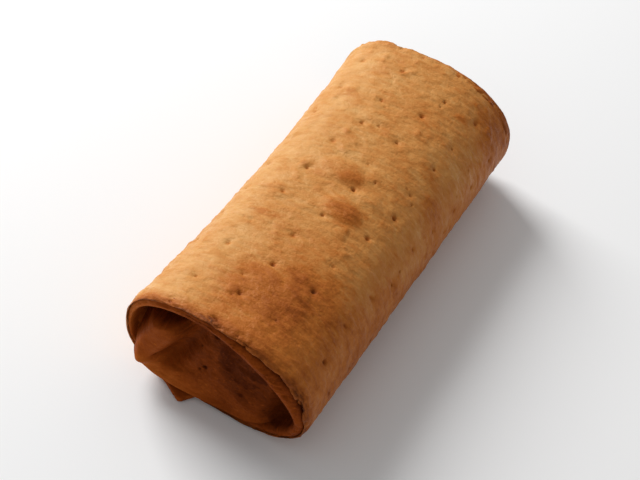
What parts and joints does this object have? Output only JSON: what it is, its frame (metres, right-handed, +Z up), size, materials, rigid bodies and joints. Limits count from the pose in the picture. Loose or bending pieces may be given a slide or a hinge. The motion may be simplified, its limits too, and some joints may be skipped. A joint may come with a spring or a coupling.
{
  "type": "burrito",
  "caption": "Fried burrito: a flattened roll of browned, docked dough with its ends folded in behind a doubled rim.",
  "frame": {"origin": "on the surface the burrito rests on, below the middle of its bounding box", "axes": "+Z up, +Y along the roll towards the end that the picture hides, +X across the roll towards the side that faces the camera"},
  "size_m": [0.0586, 0.1266, 0.0364],
  "materials": {
    "crust": "satin"
  },
  "bodies": {
    "root": {"burrito": "crust"}
  },
  "joints": []
}
